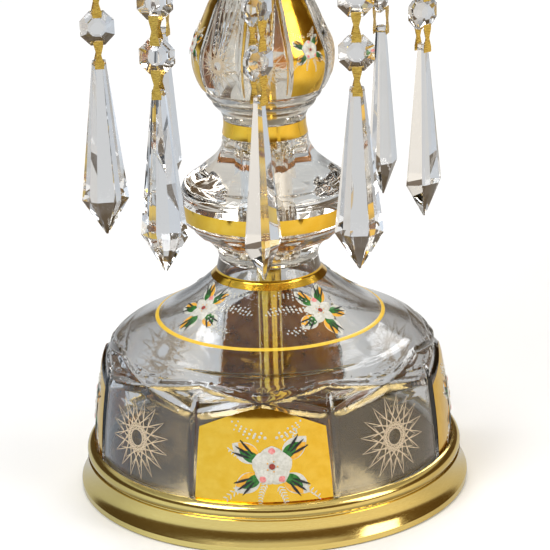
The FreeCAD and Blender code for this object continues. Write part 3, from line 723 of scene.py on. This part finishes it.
# ---- pans and arms ----------------------------------------------------------------------------
def make_pan(name, node, centre, foot, reach, bore, thickness, rise, rays):
    """A shallow glass pan with a scalloped rim and radial cuts underneath."""
    columns = 288
    shares = np.linspace(0, 1, 26)
    angles = np.arange(columns) * 360 / columns
    bearing, share = np.meshgrid(angles, shares)
    wave = np.cos(np.radians(bearing * rays))
    radius = bore + (reach * (1 - 0.012 * (1 - wave)) - bore) * share
    dish = rise * np.clip((share - 0.72) / 0.28, 0, 1) ** 2
    cut = 0.45 * np.clip(np.abs(wave) * 1.6 - 0.6, 0, 1) * band(share, 0.25, 0.95, 0.2)
    t = np.radians(bearing)
    lower = np.stack([radius * np.sin(t), -radius * np.cos(t), foot + dish + cut], -1)
    upper = np.stack([radius * np.sin(t), -radius * np.cos(t), foot + thickness + dish + 0 * t], -1)
    points = np.concatenate([lower, upper[::-1]]) * MM + np.array([*centre, 0])
    heap = Heap()
    heap.grid(points, close_rows=True, close_columns=True)
    pan = heap.build(name, [cut_glass])
    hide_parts(node)
    rim = Heap()
    profile = [(-0.5, 0.1), (0.1, -0.1), (0.25, 0.3), (0.1, 0.75), (-0.5, 0.65)]
    edge = reach * (1 - 0.012 * (1 - np.cos(np.radians(angles * rays))))
    rows = []
    for out, up in profile:
        r = edge + out
        z = foot + rise + thickness * up + 0 * r
        rows.append(np.stack([r * np.sin(np.radians(angles)), -r * np.cos(np.radians(angles)), z], -1))
    rim.grid(np.array(rows) * MM + np.array([*centre, 0]), 0, True, True)
    finish_decoration(name + "_gold_rim", rim, [gilding])


def make_pans():
    low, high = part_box("drip_pan")
    make_pan("large_pan", "drip_pan", (0, 0), low[2] / MM, 75.4, 3.1, 3.0, 1.3, 24)
    for name in ["centre_pan"] + [f"arm_pan_{k}" for k in range(1, 5)]:
        low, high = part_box(name)
        centre = ((low[0] + high[0]) / 2, (low[1] + high[1]) / 2)
        make_pan(name + "_glass", name, centre, low[2] / MM, 34.2, 3.1, 2.6, 2.0, 16)


ARM_REACH, ARM_BEND, ARM_SLOPE, ARM_LOW = 140.0, 60.0, 22.0, 262.5
ARM_START, ARM_END = 15.4, 335.5


def arm_line():
    """The arm's centre line in mm as (reach, height), evenly spaced."""
    slope = math.radians(ARM_SLOPE)
    centre = np.array([ARM_REACH - ARM_BEND, ARM_LOW + ARM_BEND])
    turn = np.linspace(-math.pi / 2 - slope, 0, 90)
    arc = centre + ARM_BEND * np.stack([np.cos(turn), np.sin(turn)], 1)
    heading = np.array([math.cos(slope), -math.sin(slope)])
    run = (arc[0, 0] - ARM_START * math.cos(slope)) / math.cos(slope)
    straight = arc[0] - heading * run * np.linspace(1, 0, 20, endpoint=False)[:, None]
    upright = np.array([[ARM_REACH, z] for z in np.linspace(arc[-1, 1], ARM_END, 9)[1:]])
    return np.concatenate([straight, arc, upright])


def make_arms():
    """Glass arms with a rope twist: six lobes that turn along the arm."""
    line = arm_line()
    length = np.concatenate([[0], np.cumsum(np.linalg.norm(np.diff(line, axis=0), axis=1))])
    heading = np.gradient(line, length, axis=0)
    heading /= np.linalg.norm(heading, axis=1)[:, None]
    side = np.stack([-heading[:, 1], heading[:, 0]], 1)
    around = np.arange(48) * TAU / 48
    plain = np.clip(np.minimum(length - 17, length[-1] - 13 - length) / 6, 0, 1)
    lobes = np.cos(6 * around[None] + length[:, None] * TAU / 26)
    radius = 5.4 - 0.5 * plain[:, None] * (1 - lobes) / 2
    for k, bearing in enumerate((45, 135, 225, 315), 1):
        a = math.radians(bearing)
        out = np.array([math.sin(a), -math.cos(a)])
        across = np.array([math.cos(a), math.sin(a)])
        reach = line[:, 0, None] + side[:, 0, None] * radius * np.cos(around)
        height = line[:, 1, None] + side[:, 1, None] * radius * np.cos(around)
        offset = radius * np.sin(around)
        plan = reach[..., None] * out + offset[..., None] * across
        points = np.concatenate([plan, height[..., None]], -1) * MM
        heap = Heap()
        heap.grid(points, close_columns=True)
        ends = [tuple(range(48))[::-1], tuple(range(len(heap.points) - 48, len(heap.points)))]
        heap.faces += ends
        heap.slots += [0, 0]
        arm = heap.build(f"twisted_arm_{k}", [cut_glass])
        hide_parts(f"arm_{k}")


# ---- finishes of the carried-over parts -------------------------------------------------------
def finish_frame_parts():
    plain = {"felt_pad": felt, "base_weight": iron, "base_washer": steel, "base_nut": steel,
             "centre_rod": steel, "bell_gasket": gasket_clear, "glass_washers": gasket_clear,
             "base_plate": satin_brass, "rod_sleeve": sleeve_gold}
    for name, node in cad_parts.items():
        material = plain.get(name, bright_brass)
        if "drop" in name or "beads" in name:
            material = crystal
        if "links" in name:
            material = clip_gold
        node.data.materials.clear()
        node.data.materials.append(material)


# ---- floor, light and camera ------------------------------------------------------------------
def make_floor():
    mesh = bpy.data.meshes.new("floor")
    reach = 3.0
    mesh.from_pydata([(-reach, -reach, 0), (reach, -reach, 0), (reach, reach, 0), (-reach, reach, 0)],
                     [], [(0, 1, 2, 3)])
    floor = bpy.data.objects.new("floor", mesh)
    bpy.context.scene.collection.objects.link(floor)
    pale = paint_material("pale_floor", (0.88, 0.88, 0.88), (0.9, 0.9, 0.9), 0.9, 5.0, 0.0)
    mesh.materials.append(pale)
    floor.visible_transmission = False
    floor.visible_glossy = False


def add_lamp(name, place, aim, size, watts, colour=(1, 1, 1)):
    lamp = bpy.data.lights.new(name, "AREA")
    lamp.shape = "RECTANGLE"
    lamp.size, lamp.size_y = size
    lamp.energy = watts
    lamp.color = colour
    holder = bpy.data.objects.new(name, lamp)
    holder.location = place
    holder.rotation_euler = (Vector(aim) - Vector(place)).to_track_quat("-Z", "Y").to_euler()
    holder.visible_camera = False
    bpy.context.scene.collection.objects.link(holder)


def sky_ramp(nodes, links, source, lowest, stops):
    """Colours along one direction of the room, given from `lowest` to its opposite."""
    spread = nodes.new("ShaderNodeMapRange")
    spread.inputs["From Min"].default_value = lowest
    spread.inputs["From Max"].default_value = -lowest
    links.new(source, spread.inputs["Value"])
    ramp = nodes.new("ShaderNodeValToRGB")
    elements = ramp.color_ramp.elements
    places = [(place / -lowest + 1) / 2 for place, colour in stops]
    elements[0].position, elements[0].color = places[0], (*stops[0][1], 1)
    elements[1].position, elements[1].color = places[-1], (*stops[-1][1], 1)
    for place, (_, colour) in list(zip(places, stops))[1:-1]:
        elements.new(place).color = (*colour, 1)
    links.new(spread.outputs["Result"], ramp.inputs["Fac"])
    return ramp.outputs["Color"]


def multiply_colours(nodes, links, first, second):
    multiply = nodes.new("ShaderNodeMix")
    multiply.data_type = "RGBA"
    multiply.blend_type = "MULTIPLY"
    multiply.inputs["Factor"].default_value = 1.0
    links.new(first, multiply.inputs[6])
    links.new(second, multiply.inputs[7])
    return multiply.outputs[2]


GREY = np.array([1.0, 1.0, 1.0])
BROWN = np.array([0.17, 0.115, 0.06])


def make_light():
    world = bpy.data.worlds.new("studio")
    bpy.context.scene.world = world
    world.use_nodes = True
    nodes, links = world.node_tree.nodes, world.node_tree.links
    background = nodes["Background"]
    coords = nodes.new("ShaderNodeTexCoord")
    split = nodes.new("ShaderNodeSeparateXYZ")
    links.new(coords.outputs["Generated"], split.inputs["Vector"])
    # Brightness by how far up the room is looked at, from straight down (-1) to straight up (1).
    heights = [(-1.0, GREY * 0.60), (-0.70, GREY * 0.45), (-0.50, GREY * 0.95), (-0.15, GREY),
               (0.02, GREY * 0.95), (0.08, BROWN), (0.48, BROWN * 0.8), (0.56, GREY * 0.95),
               (0.63, GREY * 0.95), (0.69, GREY * 0.50), (1.0, GREY * 0.90)]
    stops = [(z, tuple(colour)) for z, colour in heights]
    room = sky_ramp(nodes, links, split.outputs["Z"], -1.0, stops)
    sides = sky_ramp(nodes, links, split.outputs["X"], -1.0,
                     [(-1.0, (0.82, 0.92, 1.04)), (1.0, (1.04, 0.96, 0.84))])
    behind = sky_ramp(nodes, links, split.outputs["Y"], -1.0,
                      [(-0.3, (1.0, 1.0, 1.0)), (0.3, (0.66, 0.66, 0.66))])
    mixed = multiply_colours(nodes, links, room, sides)
    mixed = multiply_colours(nodes, links, mixed, behind)
    links.new(mixed, background.inputs["Color"])
    background.inputs["Strength"].default_value = 1.0
    add_lamp("key_lamp", (-0.9, -0.9, 1.5), (0, 0, 0.15), (0.9, 0.9), 20)
    add_lamp("fill_lamp", (1.2, -0.6, 0.9), (0, 0, 0.1), (0.6, 1.0), 9, (1.0, 0.96, 0.9))
    add_lamp("back_lamp", (0.2, 1.3, 1.2), (0, 0, 0.1), (1.2, 0.8), 12)


def make_camera():
    """The view: from the front, 19 degrees down, through a long lens."""
    pitch, roll = math.radians(19.0), math.radians(1.6)
    camera = bpy.data.cameras.new("camera")
    camera.lens = 162.6
    camera.sensor_width = 36.0
    camera.clip_end = 20.0
    holder = bpy.data.objects.new("camera", camera)
    look = Matrix.Rotation(math.pi / 2 - pitch, 4, "X") @ Matrix.Rotation(-roll, 4, "Z")
    holder.matrix_world = Matrix.Translation((0.0025, -0.990, 0.431)) @ look
    bpy.context.scene.collection.objects.link(holder)
    bpy.context.scene.camera = holder


make_bell()
make_knop()
make_vase("cut_vase", "vase", vase_surface,
          np.array([[11.5, 231.0], [15.5, 213.0], [18.5, 204.0], [23.6, 188.0], [23.0, 180.0],
                    [17.0, 168.0], [12.0, 160.2]]), vase_cuts)
make_vase("upper_cut_vase", "upper_vase", upper_surface,
          np.array([[8.0, 348.0], [8.0, 323.0], [8.0, 297.4]]),
          lambda bearing, length: groove((bearing % 30 - 15) * 0.33, length, (0, 6), (0, 42), 1.6, 0.8))
make_bell_decoration()
make_column_decoration()
make_pans()
make_arms()
finish_frame_parts()
make_floor()
make_light()
make_camera()

cycles = bpy.context.scene.cycles
cycles.max_bounces = 24
cycles.transmission_bounces = 20
cycles.transparent_max_bounces = 24
cycles.glossy_bounces = 8
bpy.context.scene.view_settings.view_transform = "Standard"
